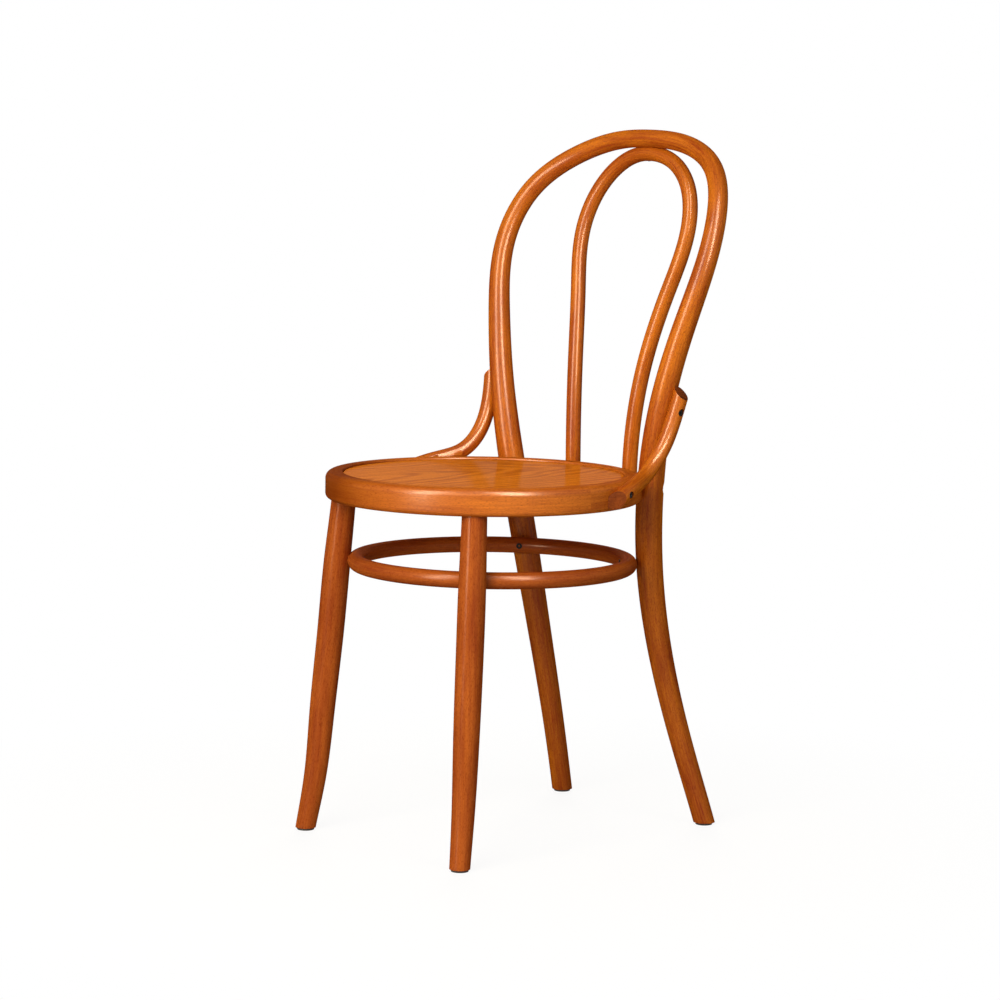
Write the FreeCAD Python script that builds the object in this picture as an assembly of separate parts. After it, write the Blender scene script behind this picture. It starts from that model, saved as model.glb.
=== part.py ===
import FreeCAD, Part
import math
import os

V = FreeCAD.Vector

# A bentwood bistro chair, in millimetres. It is laid out about the upright
# axis of its round seat, front towards -Y, and each piece is moved onto the
# middle of the chair's footprint when it is saved.
seat_axis_y = -44.8

# Seat
seat_radius = 200.0
seat_top = 465.0
rim_height = 34.0
rim_width = 45.0
rim_top_rounding = 12.0
rim_top_turns = [0, math.radians(32), math.radians(62), math.radians(90)]
rim_bottom_slope = 5.5
lip_width = 22.0
lip_slope = 2.0
panel_thickness = 5.0
panel_drop = 2.5
panel_gap = 0.4

# Leg ring
ring_radius = 173.7
ring_diameter = 21.0
ring_height = 349.0
ring_back_offset = 16.7
ring_sections = 30

# Bent and turned rods. Each place that shapes one is given as across, back,
# up and thickness, for the chair's left half, from the middle or the top.
frame_stations = [
    (0.0, 275.5, 886.0, 23.2),
    (64.0, 275.5, 881.0, 24.0),
    (124.0, 263.5, 861.0, 24.6),
    (172.0, 235.0, 821.0, 25.2),
    (192.5, 203.0, 753.0, 26.2),
    (176.0, 177.0, 655.0, 28.8),
    (152.5, 164.0, 558.0, 31.6),
    (134.5, 165.0, 466.0, 34.2),
    (119.2, 179.1, 349.0, 34.2),
    (116.2, 204.0, 232.0, 31.0),
    (124.5, 239.5, 106.0, 28.0),
    (137.2, 270.2, 3.0, 27.0),
]
loop_stations = [
    (0.0, 279.5, 865.2, 18.2),
    (40.0, 279.5, 858.5, 19.8),
    (80.0, 272.0, 825.0, 19.8),
    (98.0, 255.5, 768.0, 19.8),
    (84.5, 235.0, 690.0, 19.8),
    (64.5, 213.5, 590.0, 19.8),
    (55.2, 203.8, 494.0, 19.8),
    (53.7, 203.4, 433.0, 19.8),
]
front_leg_stations = [
    (126.5, -124.2, 431.0, 31.2),
    (130.7, -129.4, 363.0, 34.0),
    (132.1, -131.4, 335.0, 34.0),
    (135.4, -136.4, 262.0, 34.0),
    (141.2, -145.2, 152.0, 32.2),
    (145.6, -152.2, 68.0, 28.6),
    (151.8, -161.8, 3.0, 25.8),
]
brace_stations = [
    (184.6, 171.6, 586.0, 20.2),
    (177.9, 165.0, 549.0, 20.2),
    (172.8, 145.0, 500.0, 20.2),
    (176.6, 114.0, 470.5, 20.2),
    (190.0, 84.0, 461.0, 20.2),
    (202.5, 56.3, 452.0, 20.2),
    (207.6, 22.0, 440.0, 20.2),
]
section_turn = 16.0
section_step = 140.0
path_checks = 200

# The braces' ends are sawn off at a slant.
brace_top_end = V(180.6, 167.8, 571.0)
brace_top_slant = V(0.69, 0.2, 0.7)
brace_low_end = V(204.6, 38.0, 445.5)
brace_low_slant = V(0.71, -0.7, 0.05)

# Seat joints
leg_groove_play = 0.25
tenon_diameter = 20.0
tenon_length = 22.0
tenon_play = 0.1
tenon_screw_height = 443.0
leg_bolt_height = 448.0
leg_bolt_diameter = 6.0
bolt_head_diameter = 15.0
bolt_crown_diameter = 9.0
bolt_head_height = 3.6
washer_diameter = 18.0
washer_thickness = 1.6
nut_width = 10.0
nut_height = 5.0
bolt_overhang = 3.0
bolt_sinking = 4.4
loop_screw_height = 447.0

# Small round parts are given few sides.
small_part_sides = 14

# Wood screws
screw_diameter = 4.0
screw_head_diameter = 7.6
screw_head_height = 2.4
counterbore_diameter = 8.4
counterbore_depth = 3.6
brace_top_screw_height = 546.0
brace_low_screw_angle = 105.6
brace_low_screw_height = 451.8
ring_screw_length = 34.0
ring_screw_sinking = 1.6
brace_screw_length = 30.0
loop_foot_screw_length = 32.0
loop_top_screw_length = 30.0
tenon_screw_length = 26.0

# Feet
foot_slope = 1.5
glide_diameter = 22.0
glide_height = 3.0
glide_slope = 1.0
nail_diameter = 2.4
nail_start = 1.0
nail_length = 17.0

seat_bottom = seat_top - rim_height
rim_inner_radius = seat_radius - rim_width
rebate_radius = seat_radius - lip_width
panel_top = seat_top - panel_drop
rebate_floor = panel_top - panel_thickness
ring_centre = V(0, ring_back_offset, ring_height)
upwards = V(0, 0, 1)
backwards = V(0, 1, 0)
leftwards = V(1, 0, 0)


def mirrored(shape):
    return shape.mirror(V(0, 0, 0), leftwards)


def single(shape):
    """The one solid of a shape that a fuse or a cut has wrapped up."""
    solids = shape.removeSplitter().Solids
    return max(solids, key=lambda solid: solid.Volume)


def line(a, b):
    return Part.makeLine(V(a[0], 0, a[1]), V(b[0], 0, b[1]))


def revolved(outline):
    face = Part.Face(Part.Wire(outline))
    return face.revolve(V(0, 0, 0), upwards, 360)


def placed(shape, point, direction):
    """A shape made along +Z from zero, set at a point along a direction."""
    copy = shape.copy()
    copy.Placement = FreeCAD.Placement(point, FreeCAD.Rotation(upwards, direction))
    return copy


def cylinder(diameter, start, end):
    return Part.makeCylinder(diameter / 2, end - start, V(0, 0, start))


# Rods

def rod_path(stations, start_along=None, end_along=None):
    path = Part.BSplineCurve()
    points = [V(*station[:3]) for station in stations]
    if start_along and end_along:
        path.interpolate(Points=points, InitialTangent=start_along, FinalTangent=end_along)
    else:
        path.interpolate(points)
    return path


def whole_arch(half):
    """The stations of a rod from side to side, given its left half."""
    right = [(-x, y, z, thickness) for x, y, z, thickness in reversed(half[1:])]
    return right + half


def thickness_at(t, marks, stations):
    k = 1
    while t > marks[k] and k < len(marks) - 1:
        k += 1
    share = (t - marks[k - 1]) / (marks[k] - marks[k - 1])
    return stations[k - 1][3] * (1 - share) + stations[k][3] * share


def section_marks(path, start, end):
    """Places along a path, one for each small turn or step that it takes."""
    marks = [start]
    progress = 0.0
    before = start
    for k in range(1, path_checks):
        t = start + (end - start) * k / path_checks
        turned = math.degrees(path.tangent(t)[0].getAngle(path.tangent(before)[0]))
        stepped = path.value(t).distanceToPoint(path.value(before))
        progress += turned / section_turn + stepped / section_step
        before = t
        if progress >= 1.0:
            marks.append(t)
            progress = 0.0
    return marks + [end]


def round_section(centre, axis, reference, radius):
    side = (reference - axis * reference.dot(axis)).normalize()
    circle = Part.makeCircle(radius)
    turn = FreeCAD.Rotation(side, axis.cross(side), axis, "ZXY")
    circle.Placement = FreeCAD.Placement(centre, turn)
    return Part.Wire(circle)


def rod(stations, path, reference, level_start=False, level_end=False):
    """A round rod of changing thickness, lofted along its smooth middle line.

    A level end is cut flat, and one that stands on the floor is eased.
    """
    marks = [path.parameter(V(x, y, z)) for x, y, z, thickness in stations]
    places = section_marks(path, marks[0], marks[-1])
    rounds = []
    for t in places:
        centre = path.value(t)
        along = path.tangent(t)[0]
        radius = thickness_at(t, marks, stations) / 2
        starting = t == places[0]
        if (starting and level_start) or (t == places[-1] and level_end):
            along = V(0, 0, 1 if along.z > 0 else -1)
        section = round_section(centre, along, reference, radius)
        if abs(centre.z - glide_height) > 0.01:
            rounds.append(section)
            continue
        section.translate(V(0, 0, foot_slope))
        eased = round_section(centre, along, reference, radius - foot_slope)
        rounds += [eased, section] if starting else [section, eased]
    return Part.makeLoft(rounds, True, True)


def straight_rod(start, end):
    """The straight length of a rod from one of its stations to the next."""
    a, b = V(*start[:3]), V(*end[:3])
    return placed(cylinder(start[3], 0, (b - a).Length), a, (b - a).normalize())


def toward(start, end):
    return (V(*end[:3]) - V(*start[:3])).normalize()


def centre_at(stations, height):
    """Where the middle line of a standing rod passes a height."""
    path = rod_path(stations)
    point = path.intersect(Part.Plane(V(0, 0, height), upwards))[0][0]
    return V(point.X, point.Y, point.Z)


def beyond(point, direction):
    """The block of space past a flat saw cut."""
    size = 90.0
    block = Part.makeBox(size, size, size, V(-size / 2, -size / 2, 0))
    return placed(block, point, direction)


# Fasteners, each along +Z from the underside of its head

def flat(corners):
    return Part.Face(Part.makePolygon(corners + corners[:1]))


def small_part(*steps):
    """A small round part, given as a diameter and a place for each edge."""
    rounds = []
    for diameter, place in steps:
        turns = [2 * math.pi * k / small_part_sides for k in range(small_part_sides)]
        rounds.append([V(diameter / 2 * math.cos(t), diameter / 2 * math.sin(t), place) for t in turns])
    faces = [flat(rounds[0][::-1]), flat(rounds[-1])]
    for low, high in zip(rounds, rounds[1:]):
        faces += [flat([low[k - 1], low[k], high[k], high[k - 1]]) for k in range(small_part_sides)]
    shell = Part.Shell(faces)
    shell.sewShape()
    return Part.Solid(shell)


def wood_screw(length):
    """A countersunk head over a plain shank."""
    crown, neck = (screw_head_diameter, -screw_head_height), (screw_diameter, 0)
    return small_part(crown, neck, (screw_diameter, length))


class Screw:
    """A screw's place: where its head seats, which way and how far it goes."""

    def __init__(self, seat, direction, length):
        self.seat = seat
        self.direction = direction
        self.length = length

    def solid(self):
        return placed(wood_screw(self.length), self.seat, self.direction)

    def mouth(self):
        """The way in for the head, bored into the wood."""
        return placed(cylinder(counterbore_diameter, -14, 0), self.seat, self.direction)


def level_direction(start, end):
    return V(end.x - start.x, end.y - start.y, 0).normalize()


def leg_ring_screw(leg_stations):
    """From inside the leg ring, level, into a leg."""
    middle = V(0, ring_back_offset, ring_height)
    outward = level_direction(middle, centre_at(leg_stations, ring_height))
    seat = middle + outward * (ring_radius - ring_diameter / 2 + ring_screw_sinking)
    return Screw(seat, outward, ring_screw_length)


def brace_top_screw():
    brace = centre_at(brace_stations, brace_top_screw_height)
    inward = level_direction(brace, centre_at(frame_stations, brace_top_screw_height))
    seat = brace - inward * (brace_stations[0][3] / 2 - counterbore_depth)
    return Screw(seat, inward, brace_screw_length)


def brace_low_screw():
    turn = math.radians(brace_low_screw_angle)
    inward = V(-math.sin(turn), math.cos(turn), 0)
    height = V(0, 0, brace_low_screw_height)
    seat = height - inward * (seat_radius + brace_stations[-1][3] - counterbore_depth - 2.0)
    return Screw(seat, inward, brace_screw_length)


def loop_foot_screw():
    foot = centre_at(loop_stations, loop_screw_height)
    inward = level_direction(foot, V(0, 0, 0))
    seat = foot - inward * (loop_stations[-1][3] / 2 - screw_head_height)
    return Screw(seat, inward, loop_foot_screw_length)


def loop_top_screw():
    x, y, z, thickness = loop_stations[0]
    frame_middle = V(*frame_stations[0][:3])
    into_frame = (frame_middle - V(x, y, z)).normalize()
    seat = V(x, y, z) - into_frame * (thickness / 2 - screw_head_height)
    return Screw(seat, into_frame, loop_top_screw_length)


def tenon_screw():
    tenon = centre_at(front_leg_stations, seat_bottom)
    outward = level_direction(V(0, 0, 0), tenon)
    seat = outward * (rim_inner_radius + screw_head_height) + V(0, 0, tenon_screw_height)
    return Screw(seat, outward, tenon_screw_length)


# Leg bolts run inwards from a head sunk in the back legs to a nut inside the rim.

def leg_bolt_line():
    leg = centre_at(frame_stations, leg_bolt_height)
    inward = level_direction(leg, V(0, 0, 0))
    seat = leg - inward * (frame_stations[7][3] / 2 - bolt_sinking)
    washer_face = math.sqrt(rim_inner_radius ** 2 - (washer_diameter / 2) ** 2)
    span = V(seat.x, seat.y, 0).Length - washer_face
    return seat, inward, span


def leg_bolt():
    seat, inward, span = leg_bolt_line()
    length = span + washer_thickness + nut_height + bolt_overhang
    head = small_part((bolt_crown_diameter, -bolt_head_height), (bolt_head_diameter, 0))
    shank = small_part((leg_bolt_diameter, 0), (leg_bolt_diameter, length))
    return placed(single(head.fuse(shank)), seat, inward)


def leg_bolt_washer():
    seat, inward, span = leg_bolt_line()
    disc = small_part((washer_diameter, span), (washer_diameter, span + washer_thickness))
    bore = small_part((leg_bolt_diameter, span - 1), (leg_bolt_diameter, span + 5))
    return placed(disc.cut(bore), seat, inward)


def leg_bolt_nut():
    seat, inward, span = leg_bolt_line()
    start = span + washer_thickness
    reach = nut_width / math.sqrt(3)
    turns = [math.radians(60 * k) for k in range(6)]
    corners = [V(reach * math.cos(t), reach * math.sin(t), start) for t in turns]
    block = flat(corners).extrude(V(0, 0, nut_height))
    bore = small_part((leg_bolt_diameter, start - 1), (leg_bolt_diameter, start + nut_height + 1))
    return placed(block.cut(bore), seat, inward)


# Feet

def glide(stations):
    """A hard disc under a foot, its lower edge eased."""
    foot = centre_at(stations, glide_height)
    puck = small_part((glide_diameter - 2 * glide_slope, 0), (glide_diameter, glide_height))
    puck.translate(V(foot.x, foot.y, 0))
    return puck


def nail(stations):
    """The headless nail moulded into a glide and driven into the foot."""
    foot = centre_at(stations, glide_height)
    shank = small_part((nail_diameter, nail_start), (nail_diameter, nail_start + nail_length))
    shank.translate(V(foot.x, foot.y, 0))
    return shank


# Wood

def seat_ring():
    """The bent seat rim, rounded outside, with a rebate for the panel."""
    r, top, low = seat_radius, seat_top, seat_bottom
    up, down = rim_top_rounding, rim_bottom_slope
    crest = [(r - up + up * math.cos(turn), top - up + up * math.sin(turn)) for turn in rim_top_turns]
    outline = [
        line((rim_inner_radius, low), (r - down, low)),
        line((r - down, low), (r, low + down)),
        line((r, low + down), crest[0]),
        line(crest[0], crest[1]),
        line(crest[1], crest[2]),
        line(crest[2], crest[3]),
        line(crest[3], (rebate_radius + lip_slope, top)),
        line((rebate_radius + lip_slope, top), (rebate_radius, top - lip_slope)),
        line((rebate_radius, top - lip_slope), (rebate_radius, rebate_floor)),
        line((rebate_radius, rebate_floor), (rim_inner_radius, rebate_floor)),
        line((rim_inner_radius, rebate_floor), (rim_inner_radius, low)),
    ]
    rim = revolved(outline)
    cuts = [front_leg_tenon(tenon_play), leg_groove(), leg_bolt_hole()]
    return single(rim.cut(cuts + [mirrored(cut) for cut in cuts]))


def leg_groove():
    """The shallow housing that a back leg takes in the outside of the rim."""
    low = centre_at(frame_stations, seat_bottom)
    high = centre_at(frame_stations, seat_top)
    along = (high - low).normalize()
    width = frame_stations[7][3] + 2 * leg_groove_play
    return placed(cylinder(width, -20, rim_height + 40), low, along)


def leg_bolt_hole():
    seat, inward, span = leg_bolt_line()
    return placed(cylinder(leg_bolt_diameter, 0, span + 10), seat, inward)


def rim_bulk():
    """The outside of the rim, for fitting the pieces that bear on it."""
    return Part.makeCylinder(seat_radius, rim_height + 20, V(0, 0, seat_bottom - 10))


def seat_panel():
    radius = rebate_radius - panel_gap
    return Part.makeCylinder(radius, panel_thickness, V(0, 0, rebate_floor))


def leg_ring():
    """A rod bent into a ring, scarfed and glued into one piece."""
    rounds = []
    for k in range(ring_sections):
        turn = 2 * math.pi * k / ring_sections
        outward = V(math.cos(turn), math.sin(turn), 0)
        along = V(-math.sin(turn), math.cos(turn), 0)
        rounds.append(round_section(ring_centre + outward * ring_radius, along, upwards, ring_diameter / 2))
    return Part.makeLoft(rounds, True, True, True)


def front_leg_tenon(play):
    top = centre_at(front_leg_stations, seat_bottom)
    lower = centre_at(front_leg_stations, seat_bottom - 20)
    axis = (top - lower).normalize()
    return placed(cylinder(tenon_diameter + 2 * play, -6, tenon_length + play), top, axis)


def front_leg():
    """A turned leg, tenoned into the rim, with a housing for the leg ring."""
    upper, middle, lower = front_leg_stations[:2], front_leg_stations[1:3], front_leg_stations[2:]
    along = toward(*middle)
    top = rod(upper, rod_path(upper, toward(*upper), along), backwards, level_start=True)
    foot_path = rod_path(lower, along, toward(*lower[-2:]))
    foot = rod(lower, foot_path, backwards, level_end=True)
    leg = top.fuse([straight_rod(*middle), foot])
    housing = Part.makeTorus(ring_radius, ring_diameter / 2, ring_centre)
    return single(leg.cut(housing).fuse(front_leg_tenon(0)))


def back_frame():
    """Both back legs and the hoop over the sitter's back, bent from one rod."""
    stations = whole_arch(frame_stations)
    return rod(stations, rod_path(stations), backwards, level_start=True, level_end=True)


def inner_loop():
    """The smaller bow inside the hoop, its crown flattened against it."""
    stations = whole_arch(loop_stations)
    return rod(stations, rod_path(stations), backwards, level_start=True, level_end=True)


def brace():
    """A bent brace, sawn off at a slant at both ends and flat against the rim."""
    top, low = brace_stations[:2], brace_stations[-2:]
    bend = brace_stations[1:-1]
    bent = rod(bend, rod_path(bend, toward(*top), toward(*low)), leftwards)
    top_end = beyond(brace_top_end, brace_top_slant)
    low_end = beyond(brace_low_end, brace_low_slant)
    upper = straight_rod(*top).cut([top_end, brace_top_screw().mouth()])
    lower = straight_rod(*low).cut([low_end, brace_low_screw().mouth(), rim_bulk()])
    return single(bent.fuse([upper, lower]))


def save(name, *shapes):
    whole = shapes[0] if len(shapes) == 1 else Part.makeCompound(list(shapes))
    whole = whole.copy()
    whole.translate(V(0, seat_axis_y, 0))
    whole.exportStep(os.path.join("parts", name + ".step"))


def save_pair(name, *left_shapes):
    both = list(left_shapes) + [mirrored(shape) for shape in left_shapes]
    save(name, *both)


def main():
    os.makedirs("parts", exist_ok=True)
    left_leg = front_leg()
    left_brace = brace()
    leg_lines = (frame_stations, front_leg_stations)

    save("back_frame", back_frame())
    save("inner_loop", inner_loop())
    save("seat_ring", seat_ring())
    save("seat_panel", seat_panel())
    save("front_leg_left", left_leg)
    save("front_leg_right", mirrored(left_leg))
    save("leg_ring", leg_ring())
    save("brace_left", left_brace)
    save("brace_right", mirrored(left_brace))

    save_pair("leg_bolts", leg_bolt())
    save_pair("leg_bolt_washers", leg_bolt_washer())
    save_pair("leg_bolt_nuts", leg_bolt_nut())
    save_pair("brace_top_screws", brace_top_screw().solid())
    save_pair("brace_low_screws", brace_low_screw().solid())
    save_pair("leg_ring_screws", *[leg_ring_screw(s).solid() for s in leg_lines])
    save_pair("loop_foot_screws", loop_foot_screw().solid())
    save("loop_top_screw", loop_top_screw().solid())
    save_pair("tenon_screws", tenon_screw().solid())
    save_pair("glides", *[glide(s) for s in leg_lines])
    save_pair("glide_nails", *[nail(s) for s in leg_lines])


main()
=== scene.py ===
import math

import bmesh
import bpy
import numpy as np
from mathutils import Matrix, Vector


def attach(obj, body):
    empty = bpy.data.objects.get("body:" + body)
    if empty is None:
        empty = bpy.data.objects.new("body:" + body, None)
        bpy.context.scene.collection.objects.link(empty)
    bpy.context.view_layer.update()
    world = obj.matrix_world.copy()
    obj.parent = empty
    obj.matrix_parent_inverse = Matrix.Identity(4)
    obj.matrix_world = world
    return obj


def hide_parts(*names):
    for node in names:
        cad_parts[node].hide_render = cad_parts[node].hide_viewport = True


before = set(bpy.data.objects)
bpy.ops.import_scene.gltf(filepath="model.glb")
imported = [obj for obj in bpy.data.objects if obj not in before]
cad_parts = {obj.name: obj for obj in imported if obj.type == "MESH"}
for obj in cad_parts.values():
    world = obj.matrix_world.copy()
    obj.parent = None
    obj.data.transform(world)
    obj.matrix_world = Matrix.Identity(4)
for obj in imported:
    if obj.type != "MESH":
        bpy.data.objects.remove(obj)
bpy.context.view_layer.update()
print("frame loaded")

mm = 0.001
seatAxis = Vector((0, -0.0448, 0))  # every piece is laid out from the seat's upright axis
up = Vector((0, 0, 1))


# Small helpers for node trees

def addNode(tree, kind, inputs=None, **settings):
    made = tree.nodes.new(kind)
    made.location = (190 * (len(tree.nodes) % 14), -260 * (len(tree.nodes) // 14))
    for name, value in settings.items():
        setattr(made, name, value)
    for name, value in (inputs or {}).items():
        socket = made.inputs[name]
        if isinstance(value, bpy.types.NodeSocket):
            tree.links.new(value, socket)
        else:
            socket.default_value = value
    return made


def newGroup(name, kind, inputs, outputs):
    tree = bpy.data.node_groups.new(name, kind)
    for label, socketType, value in inputs:
        socket = tree.interface.new_socket(label, in_out="INPUT", socket_type=socketType)
        if value is not None:
            socket.default_value = value
    for label, socketType in outputs:
        tree.interface.new_socket(label, in_out="OUTPUT", socket_type=socketType)
    return tree, addNode(tree, "NodeGroupInput").outputs, addNode(tree, "NodeGroupOutput").inputs


def maths(tree, operation, a, b=0.0, c=0.0):
    return addNode(tree, "ShaderNodeMath", {0: a, 1: b, 2: c}, operation=operation).outputs[0]


def scaled(tree, vector, scale):
    return addNode(tree, "ShaderNodeVectorMath", {0: vector, 1: scale}, operation="MULTIPLY").outputs[0]


def shifted(tree, vector, offset):
    return addNode(tree, "ShaderNodeVectorMath", {0: vector, 1: offset}, operation="ADD").outputs[0]


def spread(tree, value, low, high, to=(0.0, 1.0)):
    inputs = {"Value": value, "From Min": low, "From Max": high, "To Min": to[0], "To Max": to[1]}
    return addNode(tree, "ShaderNodeMapRange", inputs).outputs["Result"]


def blended(tree, share, a, b):
    return addNode(tree, "ShaderNodeMix", {0: share, 6: a, 7: b}, data_type="RGBA").outputs[2]


def noiseOn(tree, vector, scale, detail, roughness=0.5):
    inputs = {"Vector": vector, "Scale": scale, "Detail": detail, "Roughness": roughness}
    return addNode(tree, "ShaderNodeTexNoise", inputs).outputs["Fac"]


def bumped(tree, height, strength, distance):
    inputs = {"Height": height, "Strength": strength, "Distance": distance}
    return addNode(tree, "ShaderNodeBump", inputs).outputs[0]


def attribute(tree, name, kind):
    return addNode(tree, "GeometryNodeInputNamedAttribute", {"Name": name}, data_type=kind).outputs["Attribute"]


def stored(tree, geometry, name, value, kind, domain):
    inputs = {"Geometry": geometry, "Name": name, "Value": value}
    return addNode(tree, "GeometryNodeStoreNamedAttribute", inputs, data_type=kind, domain=domain).outputs[0]


def solidIn(tree, geometry, material):
    # every tree ends so: instances made real, in their own material
    solid = addNode(tree, "GeometryNodeRealizeInstances", {"Geometry": geometry}).outputs[0]
    return addNode(tree, "GeometryNodeSetMaterial", {"Geometry": solid, "Material": material}).outputs[0]


# Turning a modifier's result into a plain finished mesh

def setInputs(modifier, values):
    for item in modifier.node_group.interface.items_tree:
        if item.item_type == "SOCKET" and item.in_out == "INPUT" and item.name in values:
            modifier[item.identifier] = values[item.name]


def baked(piece):
    bpy.context.view_layer.update()
    graph = bpy.context.evaluated_depsgraph_get()
    evaluated = piece.evaluated_get(graph)
    mesh = bpy.data.meshes.new_from_object(evaluated, preserve_all_data_layers=True, depsgraph=graph)
    mesh.name = piece.name
    piece.modifiers.clear()
    piece.data = mesh
    return piece


def newPiece(name, mesh):
    piece = bpy.data.objects.new(name, mesh)
    bpy.context.scene.collection.objects.link(piece)
    return piece


def pieceFrom(bm, name):
    mesh = bpy.data.meshes.new(name)
    bm.to_mesh(mesh)
    bm.free()
    return newPiece(name, mesh)


def grown(name, source, tree, values):
    piece = newPiece(name, source)
    modifier = piece.modifiers.new("build", "NODES")
    modifier.node_group = tree
    setInputs(modifier, values)
    return baked(piece)


def discard(piece):
    bpy.data.objects.remove(piece, do_unlink=True)


def cutBy(piece, *cutters):
    for cutter in cutters:
        modifier = piece.modifiers.new("cut", "BOOLEAN")
        modifier.operation = "DIFFERENCE"
        modifier.solver = "EXACT"
        modifier.material_mode = "TRANSFER"
        modifier.object = cutter
    baked(piece)
    for cutter in cutters:
        discard(cutter)
    return piece


def softShaded(piece, degrees=35):
    mesh = piece.data
    mesh.polygons.foreach_set("use_smooth", [True] * len(mesh.polygons))
    mesh.set_sharp_from_angle(angle=math.radians(degrees))
    return piece


# A lathe for everything that is turned: the profile is (radius, height) in mm

def turned(name, profile, steps=96, closed=True, place=None, finish=None, sawnFlat=False):
    bm = bmesh.new()
    grain = bm.loops.layers.float_vector.new("grain")
    rings = []
    for radius, height in profile:
        if radius < 1e-6:
            rings.append([bm.verts.new((0, 0, height * mm))])
            continue
        r, z = radius * mm, height * mm
        turns = [2 * math.pi * k / steps for k in range(steps)]
        rings.append([bm.verts.new((r * math.cos(a), r * math.sin(a), z)) for a in turns])
    pairs = list(zip(rings, rings[1:]))
    if closed:
        pairs.append((rings[-1], rings[0]))
    for low, high in pairs:
        for k in range(steps):
            n = (k + 1) % steps
            corners = [low[k % len(low)], low[n % len(low)], high[n % len(high)], high[k % len(high)]]
            corners = list(dict.fromkeys(corners))
            if len(corners) > 2:
                face = bm.faces.new(corners)
                for loop in face.loops:
                    x, y, z = loop.vert.co
                    angle = math.atan2(y, x)
                    middle = 2 * math.pi * (k + 0.5) / steps
                    angle += 2 * math.pi * round((middle - angle) / (2 * math.pi))
                    around = (angle * profile[0][0] * mm, math.hypot(x, y), z)
                    loop[grain] = (y, x, z) if sawnFlat else around
    bmesh.ops.recalc_face_normals(bm, faces=bm.faces)
    if place:
        bmesh.ops.transform(bm, matrix=place, verts=bm.verts)
    piece = pieceFrom(bm, name)
    if finish:
        piece.data.materials.append(finish)
    return softShaded(piece)


def rounded(corner, radius, start, end, steps=6):
    # points of a round corner, in degrees from the profile's outward direction
    turns = [math.radians(start + (end - start) * k / steps) for k in range(steps + 1)]
    return [(corner[0] + radius * math.cos(a), corner[1] + radius * math.sin(a)) for a in turns]


def facing(point, direction):
    # the place of something made along +Z from zero
    return Matrix.Translation(point) @ direction.to_track_quat("Z", "Y").to_matrix().to_4x4()


# Bent and turned rods: across, back, up and thickness in mm, from the middle or the top

def mirroredX(values, sign):
    return (sign * values[0],) + tuple(values[1:])


def evenLine(stations, samples):
    # a line that bends evenly through the stations, and its thickness
    knots = np.array(stations, float)
    gaps = np.linalg.norm(np.diff(knots[:, :3], axis=0), axis=1)
    at = np.concatenate([[0], np.cumsum(gaps)])
    count = len(at)
    system = np.eye(count)
    load = np.zeros((count, 4))
    for k in range(1, count - 1):
        h, g = gaps[k - 1], gaps[k]
        system[k, k - 1:k + 2] = h, 2 * (h + g), g
        load[k] = 6 * ((knots[k + 1] - knots[k]) / g - (knots[k] - knots[k - 1]) / h)
    for end, inner in ((0, 1), (count - 1, count - 2)):
        system[end, inner] = -1  # the same bend at the end as beside it
    bend = np.linalg.solve(system, load)
    line = []
    for s in np.linspace(0, at[-1], samples):
        k = min(max(int(np.searchsorted(at, s)) - 1, 0), count - 2)
        h, a, b = gaps[k], at[k + 1] - s, s - at[k]
        curve = (bend[k] * a ** 3 + bend[k + 1] * b ** 3) / (6 * h)
        curve += (knots[k] / h - bend[k] * h / 6) * a + (knots[k + 1] / h - bend[k + 1] * h / 6) * b
        line.append(curve)
    return np.array(line)


def wholeArch(half):
    return [mirroredX(station, -1) for station in reversed(half[1:])] + half


grainAcross = 0.013  # metres of grain pattern from a rod's middle to its skin


def buildRodTree():
    # sweeps a ring of the given sides along a line and lays the grain along it
    sockets = [
        ("Geometry", "NodeSocketGeometry", None), ("Sides", "NodeSocketInt", 48),
        ("Wood", "NodeSocketMaterial", None),
    ]
    tree, given, out = newGroup("bentRod", "GeometryNodeTree", sockets, [("Geometry", "NodeSocketGeometry")])
    spine = addNode(tree, "GeometryNodeMeshToCurve", {"Mesh": given["Geometry"]}).outputs[0]
    radius = maths(tree, "MULTIPLY", attribute(tree, "thickness", "FLOAT"), 0.5)
    length = addNode(tree, "GeometryNodeSplineParameter").outputs["Length"]
    spine = stored(tree, spine, "along", length, "FLOAT", "POINT")
    circle = {"Resolution": given["Sides"], "Radius": 1.0}
    ring = addNode(tree, "GeometryNodeCurvePrimitiveCircle", circle).outputs["Curve"]
    place = addNode(tree, "GeometryNodeInputPosition").outputs[0]
    ring = stored(tree, ring, "ringPlace", place, "FLOAT_VECTOR", "POINT")
    sweep = {"Curve": spine, "Profile Curve": ring, "Scale": radius, "Fill Caps": True}
    swept = addNode(tree, "GeometryNodeCurveToMesh", sweep).outputs[0]
    onRing = scaled(tree, attribute(tree, "ringPlace", "FLOAT_VECTOR"), (grainAcross,) * 3)
    across = addNode(tree, "ShaderNodeSeparateXYZ", {0: onRing}).outputs
    along = attribute(tree, "along", "FLOAT")
    grain = addNode(tree, "ShaderNodeCombineXYZ", {"X": along, "Y": across["X"], "Z": across["Y"]}).outputs[0]
    swept = stored(tree, swept, "grain", grain, "FLOAT_VECTOR", "CORNER")
    tree.links.new(solidIn(tree, swept, given["Wood"]), out["Geometry"])
    return tree


def lineMesh(name, line):
    mesh = bpy.data.meshes.new(name)
    points = [Vector(p[:3]) * mm + seatAxis for p in line]
    mesh.from_pydata(points, [(k, k + 1) for k in range(len(points) - 1)], [])
    thickness = mesh.attributes.new("thickness", "FLOAT", "POINT")
    thickness.data.foreach_set("value", [p[3] * mm for p in line])
    return mesh


def bentRod(name, line, sides, wood):
    return grown(name, lineMesh(name, line), rodTree, {"Sides": sides, "Wood": wood})


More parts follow.
